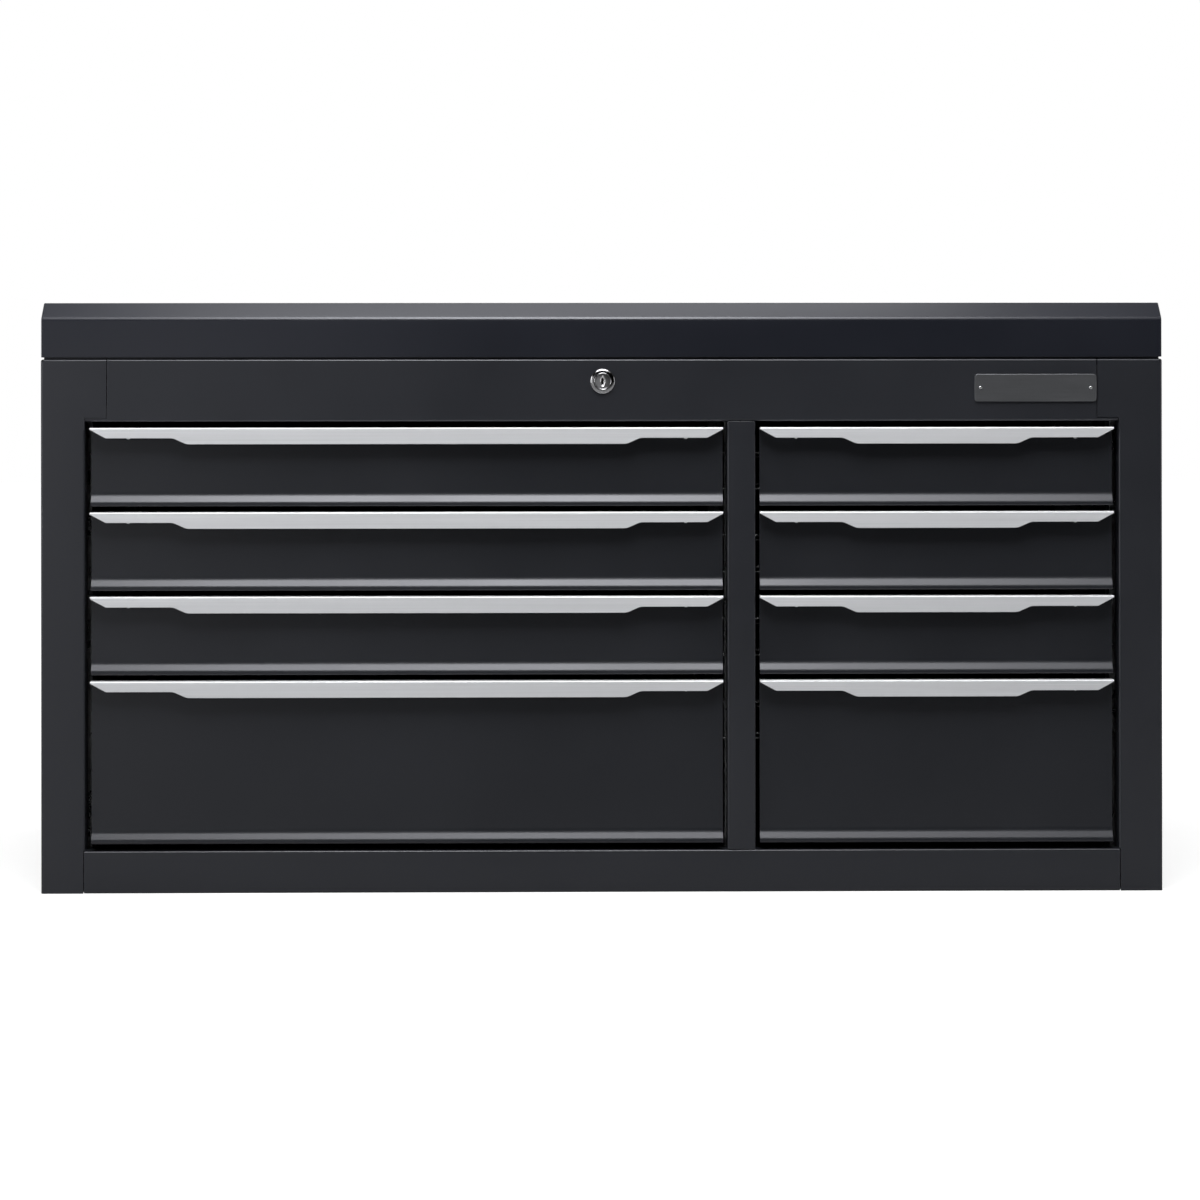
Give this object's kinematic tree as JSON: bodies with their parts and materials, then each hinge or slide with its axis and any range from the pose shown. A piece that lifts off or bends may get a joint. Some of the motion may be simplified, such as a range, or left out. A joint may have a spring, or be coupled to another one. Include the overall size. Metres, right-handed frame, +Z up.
{
  "type": "tool chest",
  "caption": "Lidded sheet-steel top chest with two banks of full-width-pull drawers on runners, a till under a hinged lid held by gas struts, and a cam lock.",
  "frame": {"origin": "middle of the footprint, from the front of the pulls to the back of the hinge, on the surface the chest stands on", "axes": "+Z up, +X to the right as seen from the front and along the width, the front faces -Y"},
  "size_m": [1.065, 0.4742, 0.56],
  "materials": {
    "carcass_paint": "charcoal powder coat, semi-gloss, very fine texture",
    "front_paint": "charcoal powder coat, semi-gloss",
    "pull_metal": "satin anodised aluminium",
    "lock_chrome": "bright chrome plate",
    "zinc_steel": "zinc-plated steel",
    "strut_paint": "gloss black paint",
    "plate_metal": "dark brushed aluminium, blank"
  },
  "bodies": {
    "carcass": {"left_side_panel": "carcass_paint", "right_side_panel": "carcass_paint", "back_panel": "carcass_paint", "bottom_panel": "carcass_paint", "top_rail": "carcass_paint", "bottom_rail": "carcass_paint", "center_post": "carcass_paint", "center_partition": "carcass_paint", "till_floor": "carcass_paint", "blank_plate": "plate_metal", "left_outer_runner_rack": "zinc_steel", "left_inner_runner_rack": "zinc_steel", "right_inner_runner_rack": "zinc_steel", "right_outer_runner_rack": "zinc_steel", "hinge_body_leaf": "carcass_paint", "hinge_pin": "zinc_steel", "left_strut_body_bracket": "zinc_steel", "right_strut_body_bracket": "zinc_steel", "lock_barrel": "lock_chrome", "lock_nut": "zinc_steel"},
    "lid": {"lid_shell": "carcass_paint", "lid_brace": "carcass_paint", "hinge_lid_leaf": "carcass_paint", "lid_strike": "zinc_steel", "left_strut_lid_bracket": "zinc_steel", "right_strut_lid_bracket": "zinc_steel"},
    "left_rod": {"left_strut_rod": "lock_chrome"},
    "left_tube": {"left_strut_tube": "strut_paint"},
    "right_rod": {"right_strut_rod": "lock_chrome"},
    "right_tube": {"right_strut_tube": "strut_paint"},
    "lock_core": {"lock_plug": "lock_chrome", "lock_cam": "zinc_steel"},
    "left_drawer_1": {"left_drawer_1_tray": "carcass_paint", "left_drawer_1_front": "front_paint", "left_drawer_1_pull": "pull_metal"},
    "left_drawer_2": {"left_drawer_2_tray": "carcass_paint", "left_drawer_2_front": "front_paint", "left_drawer_2_pull": "pull_metal"},
    "left_drawer_3": {"left_drawer_3_tray": "carcass_paint", "left_drawer_3_front": "front_paint", "left_drawer_3_pull": "pull_metal"},
    "left_drawer_4": {"left_drawer_4_tray": "carcass_paint", "left_drawer_4_front": "front_paint", "left_drawer_4_pull": "pull_metal"},
    "right_drawer_1": {"right_drawer_1_tray": "carcass_paint", "right_drawer_1_front": "front_paint", "right_drawer_1_pull": "pull_metal"},
    "right_drawer_2": {"right_drawer_2_tray": "carcass_paint", "right_drawer_2_front": "front_paint", "right_drawer_2_pull": "pull_metal"},
    "right_drawer_3": {"right_drawer_3_tray": "carcass_paint", "right_drawer_3_front": "front_paint", "right_drawer_3_pull": "pull_metal"},
    "right_drawer_4": {"right_drawer_4_tray": "carcass_paint", "right_drawer_4_front": "front_paint", "right_drawer_4_pull": "pull_metal"}
  },
  "joints": [
    {"name": "lid_hinge", "type": "hinge", "parent": "carcass", "child": "lid", "pos_m": [0, 0.23315, 0.507], "axis": [-1, 0, 0], "range_deg": [0, 80]},
    {"name": "left_strut_swing", "type": "hinge", "parent": "carcass", "child": "left_rod", "pos_m": [-0.5125, 0.19315, 0.475], "axis": [-1, 0, 0], "range_deg": [0, 79.6]},
    {"name": "left_strut_stroke", "type": "slide", "parent": "left_rod", "child": "left_tube", "axis": [0, -0.9732, 0.23], "range_m": [0, 0.066]},
    {"name": "right_strut_swing", "type": "hinge", "parent": "carcass", "child": "right_rod", "pos_m": [0.5125, 0.19315, 0.475], "axis": [-1, 0, 0], "range_deg": [0, 79.6]},
    {"name": "right_strut_stroke", "type": "slide", "parent": "right_rod", "child": "right_tube", "axis": [0, -0.9732, 0.23], "range_m": [0, 0.066]},
    {"name": "lock_turn", "type": "hinge", "parent": "carcass", "child": "lock_core", "pos_m": [0, -0.22, 0.485], "axis": [0, 1, 0], "range_deg": [0, 90]},
    {"name": "left_drawer_1_slide", "type": "slide", "parent": "carcass", "child": "left_drawer_1", "axis": [0, -1, 0], "range_m": [0, 0.3]},
    {"name": "left_drawer_2_slide", "type": "slide", "parent": "carcass", "child": "left_drawer_2", "axis": [0, -1, 0], "range_m": [0, 0.3]},
    {"name": "left_drawer_3_slide", "type": "slide", "parent": "carcass", "child": "left_drawer_3", "axis": [0, -1, 0], "range_m": [0, 0.3]},
    {"name": "left_drawer_4_slide", "type": "slide", "parent": "carcass", "child": "left_drawer_4", "axis": [0, -1, 0], "range_m": [0, 0.3]},
    {"name": "right_drawer_1_slide", "type": "slide", "parent": "carcass", "child": "right_drawer_1", "axis": [0, -1, 0], "range_m": [0, 0.3]},
    {"name": "right_drawer_2_slide", "type": "slide", "parent": "carcass", "child": "right_drawer_2", "axis": [0, -1, 0], "range_m": [0, 0.3]},
    {"name": "right_drawer_3_slide", "type": "slide", "parent": "carcass", "child": "right_drawer_3", "axis": [0, -1, 0], "range_m": [0, 0.3]},
    {"name": "right_drawer_4_slide", "type": "slide", "parent": "carcass", "child": "right_drawer_4", "axis": [0, -1, 0], "range_m": [0, 0.3]}
  ],
  "couplings": [
    {"joint": "left_strut_swing", "follows": "lid_hinge", "ratio": 0.99448},
    {"joint": "left_strut_stroke", "follows": "lid_hinge", "m_per_rad": 0.047143},
    {"joint": "right_strut_swing", "follows": "lid_hinge", "ratio": 0.99448},
    {"joint": "right_strut_stroke", "follows": "lid_hinge", "m_per_rad": 0.047143}
  ]
}
